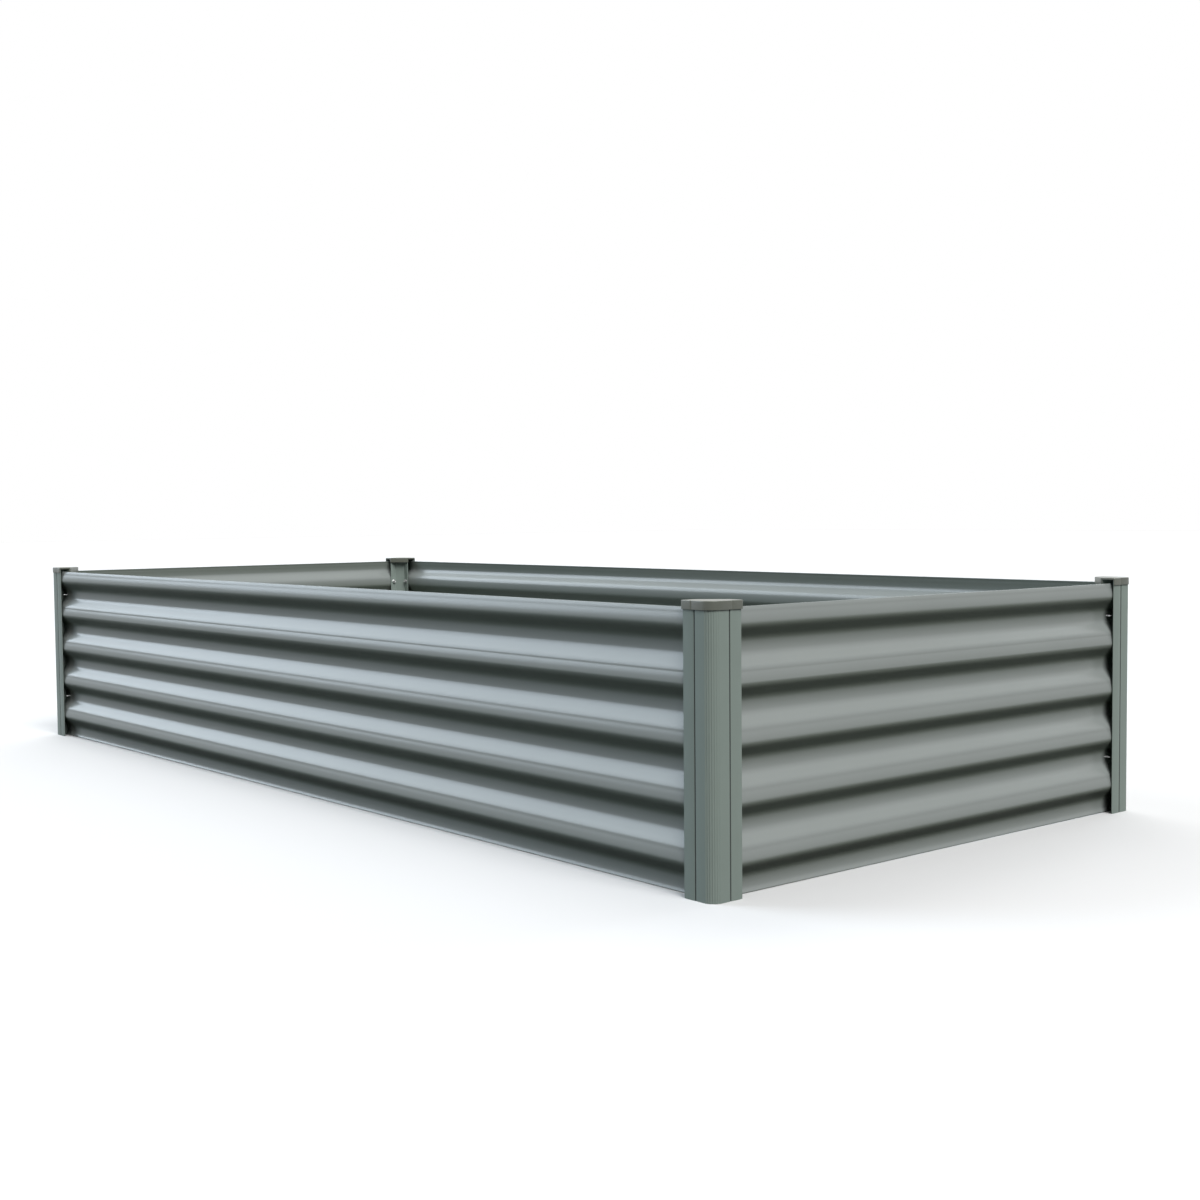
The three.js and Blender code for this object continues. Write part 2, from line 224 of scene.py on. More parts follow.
sheet_low, sheet_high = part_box("wall_sheet_front")
post_low, post_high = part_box("corner_post_front_left")
bed_length = 2 * -post_low.x
bed_width = 2 * -post_low.y
sheet_thickness = 0.0006
sheet_depth = sheet_high.y - sheet_low.y - sheet_thickness
sheet_behind_post = sheet_low.y - post_low.y + sheet_thickness / 2      # to the middle of a crest
wave_pitch = 0.0762
top_crest_drop = 0.014
flat_half = 0.007                       # half the flattened strip on a crest
flat_radius = 0.060
crease_angle = math.radians(4)          # turn of the sheet at each edge of the strip
bend_radius = 0.016                     # between the strip and the straight flank
steepest_flank = math.radians(80)       # tried in the search for the flank's angle
crisp_crest = 1                         # counted from the top, after crest 0
crisp_reach = 0.25                      # of a wave, above and below that crest
crease_easing = 4                       # rounds of smoothing, each over a row's neighbours
lean_angle = math.radians(10)
lean_reach = 0.016                      # up the flank, where the lean has run out
bow_depth = 0.0012                      # from furthest in to furthest out
bow_grain_along = 3.2                   # swells in a metre
bow_grain_up = 2.5
bow_free_from_end = 0.25                # nearer to a post, the bow dies away
walls_apart_in_bow = 7                  # places each wall elsewhere in the noise
rows_per_metre = 1000
columns_per_metre = 30
sheet_shades = (0.266, 0.29, 0.28), (0.293, 0.319, 0.308)
sheet_roughness = 0.3, 0.36
sheet_gloss = 0.6, 0.1                  # coat on the clean upper slopes, and where shade is painted below
# Painted shade: the sheet's colour goes darker the more a surface faces down, into the valleys and
# undersides of the waves.
painted_shade_colour = (0.212, 0.244, 0.208)
shade_starts = -0.28                     # downward part of the way that a surface faces
shade_full = 0.52
walls = [
    # name, turn of the sheet, from its post faces to those of the wall across
    ("front", 0, bed_width),
    ("right", 90, bed_length),
    ("back", 180, bed_width),
    ("left", 270, bed_length),
]


def wave_flank():
    """The angles where the bend starts and on the straight flank, and where the bend ends."""
    span = wave_pitch / 4
    flat_edge = math.asin(flat_half / flat_radius)
    start = flat_edge + crease_angle
    low, high = start, steepest_flank
    halvings = 40
    for _ in range(halvings):
        flank = (low + high) / 2
        bend_end = flat_half + bend_radius * (math.sin(flank) - math.sin(start))
        drop = (
            flat_radius * (1 - math.cos(flat_edge))
            + bend_radius * (math.cos(start) - math.cos(flank))
            + (span - bend_end) * math.tan(flank)
        )
        low, high = (flank, high) if drop < sheet_depth / 2 else (low, flank)
    return start, flank, bend_end


def pressed_wave(wire, below_crest):
    """How far a row lies behind the crests, from its height below the nearest crest."""
    to_crest = wire.math("ABSOLUTE", below_crest)
    to_turn = wire.math("MINIMUM", to_crest, wave_pitch / 2 - to_crest)
    start, flank, bend_end = wave_flank()
    on_flat = flat_radius - wire.math("SQRT", flat_radius ** 2 - to_turn * to_turn)
    flat_drop = flat_radius - math.sqrt(flat_radius ** 2 - flat_half ** 2)
    on_arc = wire.math("MAXIMUM", to_turn - flat_half, 0) / bend_radius + math.sin(start)
    in_bend = flat_drop + bend_radius * (math.cos(start) - wire.math("SQRT", 1 - on_arc * on_arc))
    on_flank = sheet_depth / 2 - (wave_pitch / 4 - to_turn) * math.tan(flank)
    past_flat = to_turn > flat_half
    past_bend = to_turn > bend_end
    drop = (
        on_flat * (1 - past_flat)
        + in_bend * past_flat * (1 - past_bend)
        + on_flank * past_bend
    )
    near_valley = to_crest > wave_pitch / 4
    return drop * (1 - near_valley) + (sheet_depth - drop) * near_valley


def crest_lean(wire, below_crest):
    """The flat of a crest leans back a little, from its lower crease up into the flank."""
    above_crease = wire.math("MAXIMUM", flat_half - below_crest, 0)
    up_flank = wire.math("MAXIMUM", -1 * below_crest - flat_half, 0)
    leaning = wire.math("MAXIMUM", 1 - up_flank / lean_reach, 0)
    return wire.math("MINIMUM", above_crease, 2 * flat_half) * leaning * math.tan(lean_angle)


def long_bow(wire, along, up, length, turn, buckle):
    """A long sheet is never quite flat: it bows in and out a little between its posts."""
    spot = wire.node("ShaderNodeCombineXYZ", inputs={
        "X": along * bow_grain_along, "Y": up * bow_grain_up, "Z": turn * walls_apart_in_bow})
    wander = wire.node(
        "ShaderNodeTexNoise", {"noise_dimensions": "3D"}, {"Vector": spot, "Scale": 1, "Detail": 1})
    to_end = (length / 2 - wire.math("ABSOLUTE", along)) / bow_free_from_end
    free = wire.math("MINIMUM", wire.math("MAXIMUM", to_end, 0), 1)
    return (wander - 0.5) * buckle * free


def sheet_tree():
    """A tree that bends a flat grid into one painted wall sheet, standing at the front."""
    tree = bpy.data.node_groups.new("corrugated_sheet", "GeometryNodeTree")
    measures = ("Length", "Height", "Lift", "Set back", "Turn", "Buckle")
    for name in measures:
        tree.interface.new_socket(name, in_out="INPUT", socket_type="NodeSocketFloat")
    tree.interface.new_socket("Paint", in_out="INPUT", socket_type="NodeSocketMaterial")
    tree.interface.new_socket("Sheet", in_out="OUTPUT", socket_type="NodeSocketGeometry")
    wire = Wire(tree)
    given = tree.nodes.new("NodeGroupInput")
    length, height, lift, back, turn, buckle, paint = [
        Wire(tree, given.outputs[name]) for name in (*measures, "Paint")
    ]
    grid = wire.node("GeometryNodeMeshGrid", inputs={
        "Size X": length,
        "Size Y": height,
        "Vertices X": wire.math("ROUND", length * columns_per_metre) + 1,
        "Vertices Y": wire.math("ROUND", height * rows_per_metre) + 1,
    })
    place = wire.node("GeometryNodeInputPosition")
    along = wire.node("ShaderNodeSeparateXYZ", inputs={0: place}, out="X")
    up = wire.node("ShaderNodeSeparateXYZ", inputs={0: place}, out="Y") + height / 2
    waves = (height - top_crest_drop - up) / wave_pitch
    below_crest = (waves - wire.math("ROUND", waves)) * wave_pitch

    # The rolls left crisp creases on one crest, and eased them on the others.
    on_crisp = wire.math("COMPARE", waves, crisp_crest, crisp_reach)
    depth = wire.node("GeometryNodeBlurAttribute", {"data_type": "FLOAT"}, {
        "Value": pressed_wave(wire, below_crest) + crest_lean(wire, below_crest),
        "Iterations": crease_easing,
        "Weight": 1 - on_crisp,
    })
    bow = long_bow(wire, along, up, length, turn, buckle)
    moved = wire.node("GeometryNodeSetPosition", inputs={
        "Geometry": grid,
        "Position": wire.node("ShaderNodeCombineXYZ", inputs={
            "X": along, "Y": depth + bow - back, "Z": up + lift}),
    })
    turned = wire.node("GeometryNodeTransform", inputs={
        "Geometry": moved,
        "Rotation": wire.node("ShaderNodeCombineXYZ", inputs={"Z": turn}),
    })
    smooth = wire.node("GeometryNodeSetShadeSmooth", inputs={0: turned})
    whole = wire.node("GeometryNodeRealizeInstances", inputs={0: smooth})
    painted = wire.node("GeometryNodeSetMaterial", inputs={"Geometry": whole, "Material": paint})
    result = tree.nodes.new("NodeGroupOutput")
    wire.feed(result.inputs["Sheet"], painted)
    return tree


def make_plain(piece):
    """The piece's modifiers become its mesh."""
    depsgraph = bpy.context.evaluated_depsgraph_get()
    mesh = bpy.data.meshes.new_from_object(piece.evaluated_get(depsgraph))
    piece.modifiers.clear()
    piece.data = mesh


def noise(wire, place, scale, detail):
    return wire.node("ShaderNodeTexNoise", inputs={"Vector": place, "Scale": scale, "Detail": detail})


def bump(wire, height, strength, distance):
    bumps = {"Height": height, "Strength": strength, "Distance": distance}
    return wire.node("ShaderNodeBump", inputs=bumps, out="Normal")


def between(factor, first, second):
    """A number that goes from the first to the second as the factor goes from 0 to 1."""
    return factor * (second - first) + first


def sheet_paint(wire):
    """Glossy upper slopes. Painted shade darkens the colour where the surface faces down, and the coat is
    thinner there.
    """
    place = wire.node("ShaderNodeTexCoord", out="Object")
    cloud = noise(wire, place, scale=6, detail=4)
    skin = noise(wire, place, scale=900, detail=2)
    facing = wire.node("ShaderNodeNewGeometry", out="Normal")
    downwards = wire.node("ShaderNodeSeparateXYZ", inputs={0: facing}, out="Z") * -1
    # Painted shade: a darker colour and less coat the more the surface faces down.
    painted_underside_shade = wire.node("ShaderNodeMapRange", {"interpolation_type": "SMOOTHSTEP"}, {
        "Value": downwards, "From Min": shade_starts, "From Max": shade_full})
    return {
        "Base Color": mix(painted_underside_shade, mix(cloud, *sheet_shades), painted_shade_colour),
        "Roughness": between(cloud, *sheet_roughness),
        "Specular IOR Level": 0,
        "Coat Weight": between(painted_underside_shade, *sheet_gloss),
        "Coat Roughness": 0.22,
        "Normal": bump(wire, skin, strength=0.04, distance=0.0004),
    }


def input_ids(tree):
    """The identifier of each of a tree's own sockets, by name."""
    return {item.name: item.identifier for item in tree.interface.items_tree}


sheet_finish = new_finish("sheet_paint", sheet_paint)
corrugate = sheet_tree()
sockets = input_ids(corrugate)
for side, turn, apart in walls:
    low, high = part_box(f"wall_sheet_{side}")
    size = high - low
    sheet = bpy.data.objects.new(f"sheet_{side}", bpy.data.meshes.new("sheet"))
    bpy.context.scene.collection.objects.link(sheet)
    bend = sheet.modifiers.new("corrugate", "NODES")
    bend.node_group = corrugate
    settings = {
        "Length": max(size.x, size.y),
        "Height": size.z,
        "Lift": low.z,
        "Set back": apart / 2 - sheet_behind_post,
        "Turn": math.radians(turn),
        "Buckle": bow_depth,
        "Paint": sheet_finish,
    }
    for name, value in settings.items():
        bend[sockets[name]] = value
    wall = sheet.modifiers.new("thickness", "SOLIDIFY")
    wall.thickness = sheet_thickness
    wall.offset = 0
    make_plain(sheet)
    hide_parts(f"wall_sheet_{side}")
    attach(sheet, "root")


# ---- Corner posts ----
# Four lengths of one aluminium extrusion, powder coated a greener grey. Two pairs of
# flanges make the channels for the sheets, and the outer corner is a fluted nose.

post_arm = post_high.x - post_low.x
post_wall = 0.0016
channel_play = 0.0009
inner_face = post_wall + sheet_depth + sheet_thickness + 2 * channel_play
inner_back = inner_face + post_wall
gusset_leg = 0.016
gusset_end = inner_back + gusset_leg
nose_leg = 0.013
nose_entry = math.radians(15)
nose_steps = 24
flute_count = 6
flute_depth = 0.0005
steps_per_flute = 8
face_fall = 0.0003                      # the outer face falls back by this from nose to groove
groove_from_edge = 0.0209
groove_width = 0.0022
groove_depth = 0.0011
groove_lean = 0.0002
groove_shade_start = 0.00055             # where the painted shade starts, behind the outer face
shoulder_width = 0.0052                 # the flange rounds down to its side of the groove
shoulder_depth = 0.00045
shoulder_steps = 8
edge_strip_width = 0.0027               # recessed strip along the free edge
edge_strip_depth = 0.0005
edge_strip_slope = 0.0022
edge_round = 0.0004
sharp_corner = math.radians(18)         # a corner that turns less is left as it is
round_steps = 4
round_share = 0.4                       # of an edge, at most, goes into the round at its end
screw_from_edge = 0.008
screw_hole_radius = 0.0024
screw_hole_sides = 24
screw_along = post_arm - screw_from_edge
screwed_valleys = 0.5, 3.5              # waves below the top crest
screw_heights = [sheet_high.z - top_crest_drop - wave_pitch * valley for valley in screwed_valleys]
post_crisp_edge = 24                    # degrees
post_shades = (0.25, 0.302, 0.272), (0.278, 0.332, 0.3)
post_roughness = 0.36, 0.46
# Painted shade: the colour inside the groove down each arm, where shade falls.
groove_shade = (0.07, 0.08, 0.075)
corners = [
    # place, which end of the long walls, which long wall, turn of the post
    ("front_left", -1, -1, 0),
    ("front_right", 1, -1, 90),
    ("back_right", 1, 1, 180),
    ("back_left", -1, 1, 270),
]


def outer_face():
    """An arm's outer face from its free edge: strip, flat, shoulder and groove."""
    middle = post_arm - groove_from_edge
    lip = middle + groove_width / 2
    foot = groove_width / 2 - groove_lean
    slope_start = post_arm - edge_strip_width
    shares = [step / shoulder_steps for step in range(shoulder_steps + 1)]
    return [
        Vector((post_arm, edge_strip_depth)),
        Vector((slope_start, edge_strip_depth)),
        Vector((slope_start - edge_strip_slope, 0)),
        *(Vector((lip + shoulder_width * (1 - share), shoulder_depth * share ** 2)) for share in shares),
        Vector((middle + foot, groove_depth)),
        Vector((middle - foot, groove_depth)),
        Vector((middle - groove_width / 2, face_fall)),
    ]


def mirrored_arm(points):
    """The same points on the other arm, in the order that carries the outline on."""
    return [Vector((point.y, point.x)) for point in reversed(points)]


def nose_arc(leg, entry, face=0.0):
    """The centre and radius of an arc that starts a leg away from where two faces meet."""
    half_turn = math.pi / 4 - entry
    radius = leg / math.sqrt(2) / math.sin(half_turn)
    centre = (leg + leg / math.tan(half_turn)) / 2 + face
    return centre, radius


def on_nose(centre, angle, radius):
    return Vector((centre - radius * math.cos(angle), centre - radius * math.sin(angle)))


def fluted_nose():
    """The nose's arc, with a row of shallow hollows side by side along it."""
    centre, radius = nose_arc(nose_leg, nose_entry)
    steps = flute_count * steps_per_flute
    points = []
    for step in range(steps + 1):
        angle = nose_entry + (math.pi / 2 - 2 * nose_entry) * (1 - step / steps)
        hollow = flute_depth * math.sin(math.pi * (step % steps_per_flute) / steps_per_flute)
        points.append(on_nose(centre, angle, radius - hollow))
    return points


def plain_nose(centre, radius, face):
    """A smooth arc round a nose between two outer faces that lie at face."""
    meeting = math.asin((centre - face) / radius)
    return [
        on_nose(centre, meeting + (math.pi / 2 - 2 * meeting) * step / nose_steps, radius)
        for step in range(nose_steps + 1)
    ]


def rounded(outline, radius):
    """The outline with each sharp corner turned into an arc."""
    points = []
    for before, corner, after in zip(outline[-1:] + outline[:-1], outline, outline[1:] + outline[:1]):
        back = before - corner
        ahead = after - corner
        opening = back.angle(ahead)
        if math.pi - opening < sharp_corner:
            points.append(corner)
            continue
        cut = min(radius / math.tan(opening / 2), round_share * back.length, round_share * ahead.length)
        arc_radius = cut * math.tan(opening / 2)
        inward = (back.normalized() + ahead.normalized()).normalized()
        centre = corner + inward * (arc_radius / math.sin(opening / 2))
        first = corner + back.normalized() * cut - centre
        last = corner + ahead.normalized() * cut - centre
        sweep = first.angle_signed(last)
        for step in range(round_steps + 1):
            turned = Matrix.Rotation(-sweep * step / round_steps, 2) @ first
            points.append(centre + turned)
    return points


def corner_hollow(inset):
    """The hollow behind the nose, drawn in by an inset on every side."""
    low = post_wall + inset
    high = inner_face - inset
    square = [Vector((low, high)), Vector((high, high)), Vector((high, low))]
    centre, radius = nose_arc(nose_leg, nose_entry)
    return plain_nose(centre, radius - low, low) + square


def gusset_hollow(inset):
    """The three-sided hollow between the inner flanges and the diagonal wall."""
    low = inner_back + inset
    far = gusset_end - inset - (post_wall + inset) * math.sqrt(2)
    return [Vector((low, low)), Vector((far, low)), Vector((low, far))]


def post_outline():
    face = outer_face()
    behind = [
        Vector((post_wall, post_arm)),
        Vector((post_wall, inner_back)),
        Vector((inner_face, inner_back)),
        Vector((inner_face, post_arm)),
        Vector((inner_back, post_arm)),
        Vector((inner_back, gusset_end)),
    ]
    return face + fluted_nose() + mirrored_arm(face) + behind + mirrored_arm(behind)


def add_loop(mesh, outline, height):
    """An outline as a closed ring of points and edges at one height."""
    ring = [mesh.verts.new((point.x, point.y, height)) for point in outline]
    edges = [mesh.edges.new(pair) for pair in zip(ring, ring[1:] + ring[:1])]
    return ring, edges


def add_skirt(mesh, lower, upper):
    """Faces between two rings of equal count."""
    for a, b, c, d in zip(lower, lower[1:] + lower[:1], upper[1:] + upper[:1], upper):
        mesh.faces.new((a, b, c, d))


def extruded(outlines, low, high):
    """A solid of one section, with its hollows, between two heights."""
    mesh = bmesh.new()
    lower_edges = []
    upper_edges = []
    for outline in outlines:
        lower, edges = add_loop(mesh, outline, low)
        lower_edges += edges
        upper, edges = add_loop(mesh, outline, high)
        upper_edges += edges
        add_skirt(mesh, lower, upper)
    for edges in (lower_edges, upper_edges):
        bmesh.ops.triangle_fill(mesh, edges=edges, use_beauty=True)
    bmesh.ops.recalc_face_normals(mesh, faces=mesh.faces)
    return mesh


def piece_from(mesh, name, material):
    """The built mesh as an object that carries its finish."""
    data = bpy.data.meshes.new(name)
    mesh.to_mesh(data)
    mesh.free()
    piece = bpy.data.objects.new(name, data)
    bpy.context.scene.collection.objects.link(piece)
    data.materials.append(material)
    return piece


def join_or_cut(piece, other, operation):
    """Adds the other body to the piece or cuts it away, and removes it."""
    change = piece.modifiers.new(operation, "BOOLEAN")
    change.operation = operation
    change.object = other
    change.solver = "EXACT"
    make_plain(piece)
    bpy.data.objects.remove(other)


def shade_by_edge(piece, degrees):
    """Bends shade smoothly, and edges sharper than this stay crisp."""
    piece.data.shade_smooth()
    piece.data.set_sharp_from_angle(angle=math.radians(degrees))


def drills():
    """Four pins where the screws go through the inner flanges."""
    mesh = bmesh.new()
    middle = inner_face + post_wall / 2
    for height in screw_heights:
        for spot, axis in (((screw_along, middle), "X"), ((middle, screw_along), "Y")):
            bmesh.ops.create_cone(
                mesh, cap_ends=True, segments=screw_hole_sides,
                radius1=screw_hole_radius, radius2=screw_hole_radius, depth=post_wall * 2,
                matrix=Matrix.Translation((*spot, height)) @ Matrix.Rotation(math.pi / 2, 4, axis))
    return mesh


def post_paint(wire):
    """Powder coat, with painted shade darkening the groove down each arm."""
    place = wire.node("ShaderNodeTexCoord", out="Object")
    cloud = noise(wire, place, scale=12, detail=4)
    grain = noise(wire, place, scale=1400, detail=2)
    from_end, from_side = [
        extent / 2 - wire.math("ABSOLUTE", wire.node("ShaderNodeSeparateXYZ", inputs={0: place}, out=axis))
        for extent, axis in ((bed_length, "X"), (bed_width, "Y"))
    ]
    groove_middle = post_arm - groove_from_edge
    # Painted shade: the inside of the groove takes the dark colour.
    in_groove = wire.math("MAXIMUM", *[
        wire.math("COMPARE", along_arm, groove_middle, groove_width / 2)
        * wire.math("COMPARE", behind_face, groove_depth, groove_depth - groove_shade_start)
        for along_arm, behind_face in ((from_end, from_side), (from_side, from_end))
    ])
    return {
        "Base Color": mix(in_groove, mix(cloud, *post_shades), groove_shade),
        "Roughness": between(cloud, *post_roughness),
        "Specular IOR Level": 0.15,
        "Normal": bump(wire, grain, strength=0.08, distance=0.0003),
    }


def to_corner(along, across, turn):
    """Moves a piece that was built round its own outer corner to a corner of the bed."""
    return (
        Matrix.Translation((along * bed_length / 2, across * bed_width / 2, 0))
        @ Matrix.Rotation(math.radians(turn), 4, "Z")
    )


post_finish = new_finish("post_paint", post_paint)
for place, along, across, turn in corners:
    section = [
        rounded(post_outline(), edge_round),
        rounded(corner_hollow(0), edge_round),
        rounded(gusset_hollow(0), edge_round),
    ]
    post = piece_from(extruded(section, post_low.z, post_high.z), f"post_{place}", post_finish)
    join_or_cut(post, piece_from(drills(), "drills", post_finish), "DIFFERENCE")
    post.data.transform(to_corner(along, across, turn))
    shade_by_edge(post, post_crisp_edge)
    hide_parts(f"corner_post_{place}")
    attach(post, "root")


# ---- Post caps ----
# A cap moulded in grey-green plastic closes each post. Its skirt hangs over the outer
# faces, is open where the sheets run in, and two hollow spigots grip inside the post.

cap_low, cap_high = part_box("post_cap_front_left")
cap_overhang = post_low.x - cap_low.x
cap_clearance = 0.0003
cap_plate = 0.0032
cap_skirt = 0.0083
cap_underside = cap_high.z - cap_plate
cap_skirt_end = cap_underside - cap_skirt
cap_edge_round = 0.001
cap_edge_steps = 5
cap_corner_round = 0.0012
cap_nose_leg = 0.0168
cap_nose_entry = math.radians(5)
cap_line_from_edge = 0.017              # a vee line down the skirt
cap_line_width = 0.003
cap_line_depth = 0.0007
cap_face_fall = 0.0004                  # the skirt's face falls back by this from nose to line
spigot_wall = 0.0014
spigot_root = cap_plate / 4             # runs this far up into the plate
cap_crisp_edge = 24                     # degrees
cap_shades = (0.098, 0.108, 0.088), (0.122, 0.13, 0.103)
cap_roughness = 0.3, 0.4


def cap_plan(offset, arm, nose):
    """The cap's plan at an offset from the post: two arms, a nose and a diagonal side."""
    diagonal = [
        Vector((inner_back + offset, post_arm + offset)),
        Vector((post_arm + offset, inner_back + offset)),
    ]
    return rounded(arm + nose + mirrored_arm(arm) + diagonal, cap_corner_round)


def skirt_outline(offset):
    """The outside of the skirt, with a vee line down each arm."""
    line = post_arm - cap_line_from_edge
    arm = [
        Vector((post_arm + offset, -offset)),
        Vector((line + cap_line_width / 2, -offset)),
        Vector((line, cap_line_depth - offset)),
        Vector((line - cap_line_width / 2, cap_face_fall - offset)),
    ]
    centre, radius = nose_arc(cap_nose_leg, cap_nose_entry, -cap_overhang)
    return cap_plan(offset, arm, plain_nose(centre, radius - cap_overhang + offset, -offset))


def cavity_outline():
    """The inside of the skirt, a clearance away from the post."""
    arm = [Vector((post_arm + cap_clearance, -cap_clearance))]
    centre, radius = nose_arc(nose_leg, nose_entry)
    nose = plain_nose(centre, radius + cap_clearance, -cap_clearance)
    return cap_plan(cap_clearance, arm, nose)


def cap_shell():
    """The plate and skirt: rings up the outside and over the edge, and a cavity below."""
    mesh = bmesh.new()
    below, rim_edges = add_loop(mesh, skirt_outline(cap_overhang), cap_skirt_end)
    for step in range(cap_edge_steps + 1):
        angle = math.pi / 2 * step / cap_edge_steps
        offset = cap_overhang - cap_edge_round * (1 - math.cos(angle))
        height = cap_high.z - cap_edge_round * (1 - math.sin(angle))
        above, top_edges = add_loop(mesh, skirt_outline(offset), height)
        add_skirt(mesh, below, above)
        below = above
    bmesh.ops.triangle_fill(mesh, edges=top_edges, use_beauty=True)
    mouth, mouth_edges = add_loop(mesh, cavity_outline(), cap_skirt_end)
    roof, roof_edges = add_loop(mesh, cavity_outline(), cap_underside)
    add_skirt(mesh, mouth, roof)
    bmesh.ops.triangle_fill(mesh, edges=roof_edges, use_beauty=True)
    bmesh.ops.triangle_fill(mesh, edges=rim_edges + mouth_edges, use_beauty=True)
    bmesh.ops.recalc_face_normals(mesh, faces=mesh.faces)
    return mesh


def mouth_cutters():
    """Two blocks, one where each sheet runs in under the cap."""
    mesh = bmesh.new()
    low = Vector((post_arm - cap_clearance, -cap_clearance / 2, cap_skirt_end - cap_plate))
    high = Vector((post_arm + 2 * cap_overhang, inner_face - cap_clearance, cap_underside))
    size = high - low
    middle = (low + high) / 2
    for block_size, block_middle in ((size, middle), (size.yxz, middle.yxz)):
        bmesh.ops.create_cube(
            mesh, size=1,
            matrix=Matrix.Translation(block_middle) @ Matrix.Diagonal((*block_size, 1)))
    return mesh


def cap_plastic(wire):
    """Moulded plastic, a little cloudy in its colour, with a fine grain."""
    place = wire.node("ShaderNodeTexCoord", out="Object")
    cloud = noise(wire, place, scale=30, detail=3)
    grain = noise(wire, place, scale=2200, detail=2)
    return {
        "Base Color": mix(cloud, *cap_shades),
        "Roughness": between(cloud, *cap_roughness),
        "Normal": bump(wire, grain, strength=0.15, distance=0.0002),
    }


cap_finish = new_finish("cap_plastic", cap_plastic)
for place, along, across, turn in corners:
    cap = piece_from(cap_shell(), f"cap_{place}", cap_finish)
    for hollow in (corner_hollow, gusset_hollow):
        bore = rounded(hollow(cap_clearance + spigot_wall), edge_round)
        wall = rounded(hollow(cap_clearance), edge_round)
        spigot = extruded([wall, bore], cap_low.z, cap_underside + spigot_root)
        join_or_cut(cap, piece_from(spigot, "spigot", cap_finish), "UNION")
    join_or_cut(cap, piece_from(mouth_cutters(), "mouths", cap_finish), "DIFFERENCE")
    cap.data.transform(to_corner(along, across, turn))
    shade_by_edge(cap, cap_crisp_edge)
    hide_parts(f"post_cap_{place}")
    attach(cap, "root")


# ---- Wall screws ----
# Self-drilling zinc-plated screws with hexagonal washer heads, driven from inside the bed
# through the inner flange into a valley of the sheet, two at each end of each sheet.

screw_radius = 0.0021
screw_root = 0.0015
screw_length = 0.013
screw_point = 0.004
point_shares = 0.3, 0.65                # of the root's radius, on the way from tip to thread
thread_pitch = 0.0016
thread_width = 0.5                      # of the pitch
rows_per_thread = 8
screw_sides = 24
hex_side = math.pi / 3
hex_reach = 0.0035                      # centre to flat
hex_height = 0.0034
hex_chamfer = 0.0005
washer_radius = 0.0047
washer_height = 0.001
washer_rim = 0.0006
head_gap = 0.0003
head_dish = 0.0005
dish_rim = 0.8                          # of the way out to a flat
dish_floor = 0.6
screw_crisp_edge = 30                   # degrees
zinc_shades = (0.5, 0.51, 0.52), (0.66, 0.66, 0.64)
zinc_roughness = 0.2, 0.5
stop_seed = 5


def thread_radius(angle, height):
    """A sharp ridge that climbs one pitch in each turn."""
    climb = (height / thread_pitch + angle / math.tau) % 1
    ridge = max(0, 1 - abs(climb - 0.5) / (thread_width / 2))
    return screw_root + (screw_radius - screw_root) * ridge


def hex_radius(angle):
    from_flat = (angle + hex_side / 2) % hex_side - hex_side / 2
    return hex_reach / math.cos(from_flat)


def screw_rings():
    """From the point up: the height of each ring and its radius at an angle."""
    thread_end = screw_point - screw_length
    thread_rows = round(-thread_end / thread_pitch * rows_per_thread)
    head_top = washer_height + hex_height
    hex_corner = hex_radius(hex_side / 2)
    rings = [
        (thread_end - screw_point * (1 - share), lambda angle, share=share: screw_root * share)
        for share in point_shares
    ]
    for row in range(thread_rows + 1):
        height = thread_end * (1 - row / thread_rows)
        rings.append((height, lambda angle, height=height: thread_radius(angle, height)))
    rings += [
        (0, lambda angle: washer_radius - washer_rim / 3),
        (washer_rim / 3, lambda angle: washer_radius),
        (washer_rim, lambda angle: washer_radius),
        (washer_height, lambda angle: hex_corner + washer_rim / 4),
        (washer_height, hex_radius),
        (head_top - hex_chamfer, hex_radius),
        (head_top - hex_chamfer / 2, lambda angle: min(hex_radius(angle), hex_corner - hex_chamfer)),
        (head_top, lambda angle: hex_reach - hex_chamfer / 2),
        (head_top, lambda angle: hex_reach * dish_rim),
        (head_top - head_dish, lambda angle: hex_reach * dish_floor),
    ]
    return rings


def screw_mesh():
    """A screw along Y with its head above the origin, on the flange, and its point below."""
    mesh = bmesh.new()
    below = None
    for height, radius_at in screw_rings():
        ring = []
        for side in range(screw_sides):
            angle = math.tau * side / screw_sides
            radius = radius_at(angle)
            ring.append(mesh.verts.new((radius * math.sin(angle), height, radius * math.cos(angle))))
        if below is None:
            tip = mesh.verts.new((0, -screw_length, 0))
            for pair in zip(ring, ring[1:] + ring[:1]):
                mesh.faces.new((tip, *pair))
        else:
            add_skirt(mesh, below, ring)
        below = ring
    mesh.faces.new(below)
    bmesh.ops.recalc_face_normals(mesh, faces=mesh.faces)
    return mesh


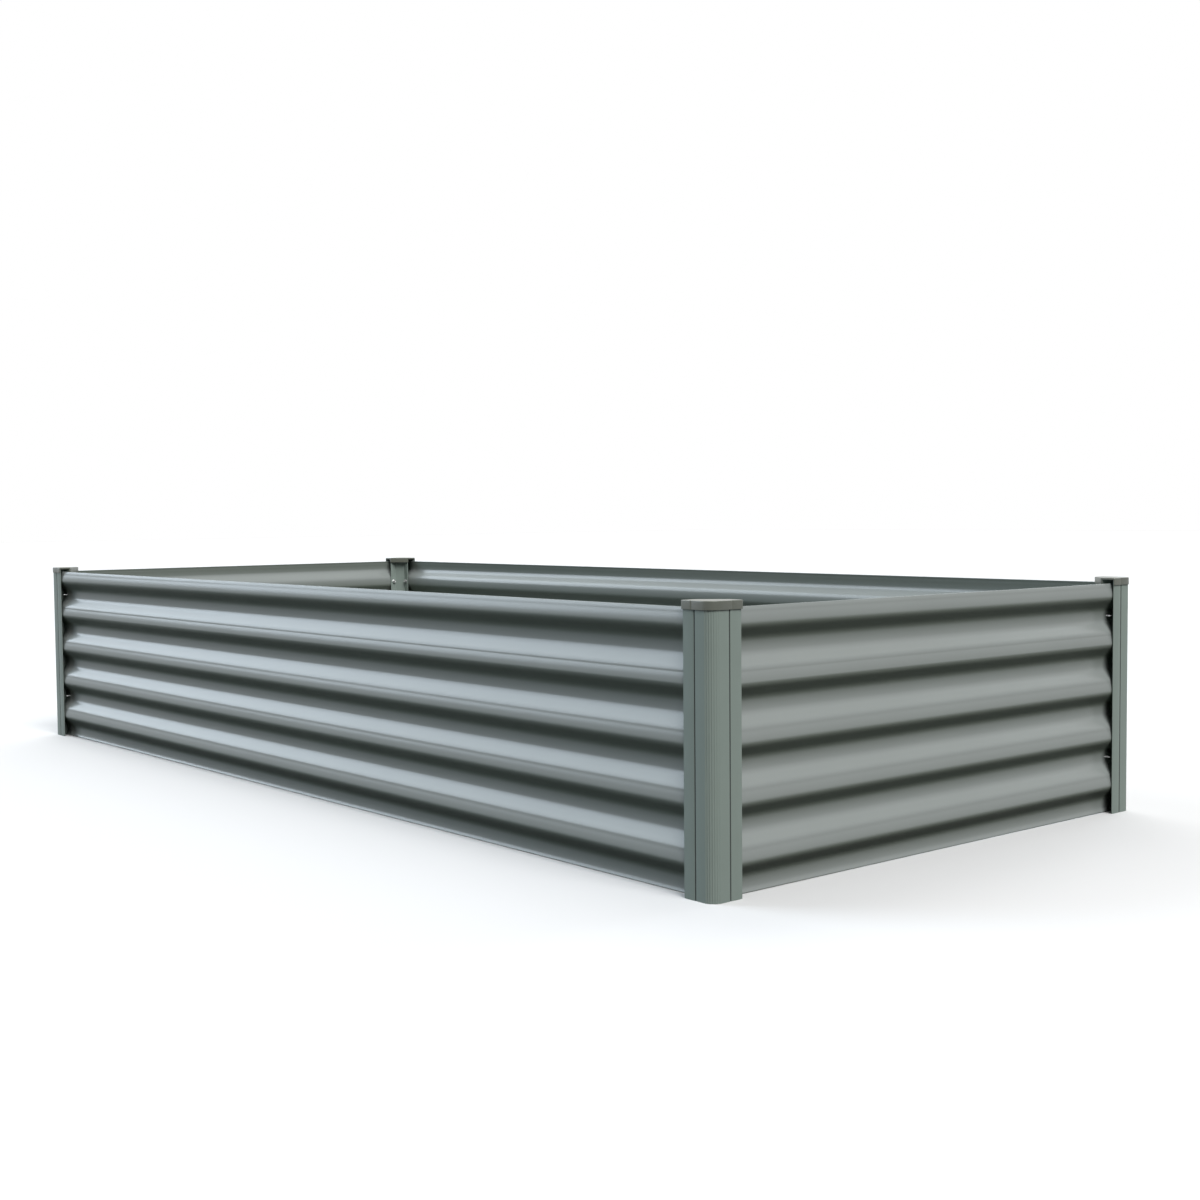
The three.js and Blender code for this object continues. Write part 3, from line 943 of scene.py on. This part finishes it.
def screw_tree():
    """A tree that stands a screw at each place, each stopped at its own angle."""
    tree = bpy.data.node_groups.new("place_screws", "GeometryNodeTree")
    kinds = {"Places": "Geometry", "Screw": "Object", "Seed": "Int", "Finish": "Material"}
    for name, kind in kinds.items():
        tree.interface.new_socket(name, in_out="INPUT", socket_type=f"NodeSocket{kind}")
    tree.interface.new_socket("Screws", in_out="OUTPUT", socket_type="NodeSocketGeometry")
    wire = Wire(tree)
    given = tree.nodes.new("NodeGroupInput")
    places, screw, seed, plating = [Wire(tree, given.outputs[name]) for name in kinds]
    body = wire.node("GeometryNodeObjectInfo", inputs={"Object": screw}, out="Geometry")
    facing = wire.node(
        "GeometryNodeInputNamedAttribute", {"data_type": "FLOAT_VECTOR"}, {"Name": "facing"})
    standing = wire.node("GeometryNodeInstanceOnPoints", inputs={
        "Points": places, "Instance": body, "Rotation": facing})

    # The random turn's least and greatest go in at 2 and 3, and it comes out at 1.
    stop = wire.node(
        "FunctionNodeRandomValue", {"data_type": "FLOAT"}, {2: 0, 3: math.tau, "Seed": seed}, out=1)
    driven = wire.node("GeometryNodeRotateInstances", inputs={
        "Instances": standing,
        "Rotation": wire.node("ShaderNodeCombineXYZ", inputs={"Y": stop}),
    })
    whole = wire.node("GeometryNodeRealizeInstances", inputs={0: driven})
    plated = wire.node("GeometryNodeSetMaterial", inputs={"Geometry": whole, "Material": plating})
    result = tree.nodes.new("NodeGroupOutput")
    wire.feed(result.inputs["Screws"], plated)
    return tree


def zinc_plate(wire):
    """Bright zinc, blotched in shade and gloss."""
    place = wire.node("ShaderNodeTexCoord", out="Object")
    cloud = noise(wire, place, scale=700, detail=3)
    return {
        "Base Color": mix(cloud, *zinc_shades),
        "Roughness": between(cloud, *zinc_roughness),
        "Metallic": 1,
    }


zinc_finish = new_finish("screw_zinc", zinc_plate)
spots = []
facings = []
head = inner_back + head_gap
for place, along, across, turn in corners:
    for height in screw_heights:
        for spot, arm_turn in (((screw_along, head), 0), ((head, screw_along), -90)):
            spots.append(to_corner(along, across, turn) @ Vector((*spot, height)))
            facings.append((0, 0, math.radians(turn + arm_turn)))
places_mesh = bpy.data.meshes.new("screw_places")
places_mesh.from_pydata(spots, [], [])
facing = places_mesh.attributes.new("facing", "FLOAT_VECTOR", "POINT")
for entry, angles in zip(facing.data, facings):
    entry.vector = angles
screws = bpy.data.objects.new("wall_screws", places_mesh)
bpy.context.scene.collection.objects.link(screws)
pattern = piece_from(screw_mesh(), "screw_pattern", zinc_finish)
drive = screws.modifiers.new("drive", "NODES")
drive.node_group = screw_tree()
sockets = input_ids(drive.node_group)
drive[sockets["Screw"]] = pattern
drive[sockets["Seed"]] = stop_seed
drive[sockets["Finish"]] = zinc_finish
make_plain(screws)
bpy.data.objects.remove(pattern)
shade_by_edge(screws, screw_crisp_edge)
screw_nodes = [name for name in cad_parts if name.startswith("screw_")]
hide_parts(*screw_nodes)
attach(screws, "root")
